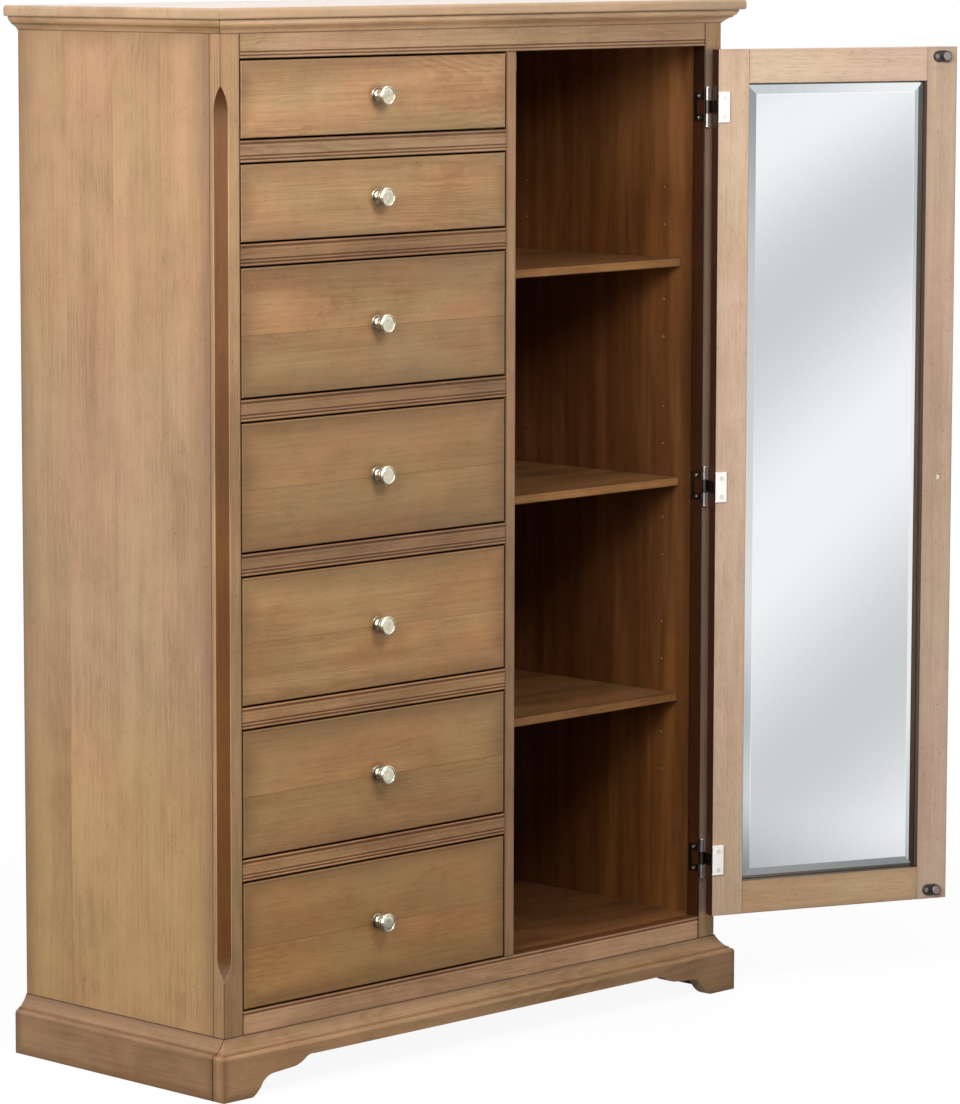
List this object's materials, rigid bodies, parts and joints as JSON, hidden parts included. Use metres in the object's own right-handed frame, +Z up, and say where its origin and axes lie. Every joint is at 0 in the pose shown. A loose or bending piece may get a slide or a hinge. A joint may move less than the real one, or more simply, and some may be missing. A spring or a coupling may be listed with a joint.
{
  "type": "gentlemans chest",
  "caption": "Tall chest of drawers with a side cupboard: inset drawers under a moulded top, shelves behind a door that has a bevelled mirror inside, on bracket feet.",
  "frame": {"origin": "on the floor, on the case's centre line, in the plane of its back, where a wall meets the floor", "axes": "+Z up; +Y out of the back towards the wall; +X to the right seen from the front"},
  "size_m": [1.3784, 0.6033, 1.4965],
  "materials": {
    "case_wood": "honey-brown stained wood under satin lacquer with a darker glaze at the edges",
    "inner_wood": "dark stained wood, satin",
    "box_wood": "pale sealed wood",
    "satin_nickel": "satin nickel plate",
    "hinge_steel": "dull plated steel",
    "strike_steel": "zinc-plated steel",
    "mirror_glass": "silvered glass, bevelled edge",
    "cream_plastic": "cream, smooth",
    "dark_plastic": "near-black, smooth"
  },
  "bodies": {
    "case": {"side_left": "case_wood", "side_right": "case_wood", "post_left": "case_wood", "post_right": "case_wood", "top_board": "case_wood", "crown_front": "case_wood", "crown_left": "case_wood", "crown_right": "case_wood", "base_front": "case_wood", "base_left": "case_wood", "base_right": "case_wood", "top_rail": "case_wood", "bottom_rail": "case_wood", "mid_stile": "case_wood", "drawer_rails": "case_wood", "back_panel": "inner_wood", "case_bottom": "inner_wood", "partition": "inner_wood", "base_back": "inner_wood", "drawer_runners": "inner_wood", "drawer_guides": "inner_wood", "shelf_upper": "inner_wood", "shelf_middle": "inner_wood", "shelf_lower": "inner_wood", "shelf_supports": "satin_nickel", "hinge_case_leaves": "hinge_steel", "hinge_pins": "hinge_steel", "hinge_case_screws": "hinge_steel", "catch_strikes": "strike_steel"},
    "drawer_1": {"drawer_1_front": "case_wood", "drawer_1_box": "box_wood", "knob_1": "satin_nickel"},
    "drawer_2": {"drawer_2_front": "case_wood", "drawer_2_box": "box_wood", "knob_2": "satin_nickel"},
    "drawer_3": {"drawer_3_front": "case_wood", "drawer_3_box": "box_wood", "knob_3": "satin_nickel"},
    "drawer_4": {"drawer_4_front": "case_wood", "drawer_4_box": "box_wood", "knob_4": "satin_nickel"},
    "drawer_5": {"drawer_5_front": "case_wood", "drawer_5_box": "box_wood", "knob_5": "satin_nickel"},
    "drawer_6": {"drawer_6_front": "case_wood", "drawer_6_box": "box_wood", "knob_6": "satin_nickel"},
    "drawer_7": {"drawer_7_front": "case_wood", "drawer_7_box": "box_wood", "knob_7": "satin_nickel"},
    "door": {"door_free_stile": "case_wood", "door_hinge_stile": "case_wood", "door_bottom_rail": "case_wood", "door_top_rail": "case_wood", "door_panel": "case_wood", "door_mirror": "mirror_glass", "door_knob": "satin_nickel", "hinge_door_leaves": "hinge_steel", "hinge_covers": "cream_plastic", "door_catches": "dark_plastic"}
  },
  "joints": [
    {"name": "drawer_1_slide", "type": "slide", "parent": "case", "child": "drawer_1", "axis": [0, -1, 0], "range_m": [0, 0.3]},
    {"name": "drawer_2_slide", "type": "slide", "parent": "case", "child": "drawer_2", "axis": [0, -1, 0], "range_m": [0, 0.3]},
    {"name": "drawer_3_slide", "type": "slide", "parent": "case", "child": "drawer_3", "axis": [0, -1, 0], "range_m": [0, 0.3]},
    {"name": "drawer_4_slide", "type": "slide", "parent": "case", "child": "drawer_4", "axis": [0, -1, 0], "range_m": [0, 0.3]},
    {"name": "drawer_5_slide", "type": "slide", "parent": "case", "child": "drawer_5", "axis": [0, -1, 0], "range_m": [0, 0.3]},
    {"name": "drawer_6_slide", "type": "slide", "parent": "case", "child": "drawer_6", "axis": [0, -1, 0], "range_m": [0, 0.3]},
    {"name": "drawer_7_slide", "type": "slide", "parent": "case", "child": "drawer_7", "axis": [0, -1, 0], "range_m": [0, 0.3]},
    {"name": "door_hinge", "type": "hinge", "parent": "case", "child": "door", "pos_m": [0.4742, -0.4205, 0], "axis": [0, 0, 1], "range_deg": [-157.3, 17.7]}
  ]
}
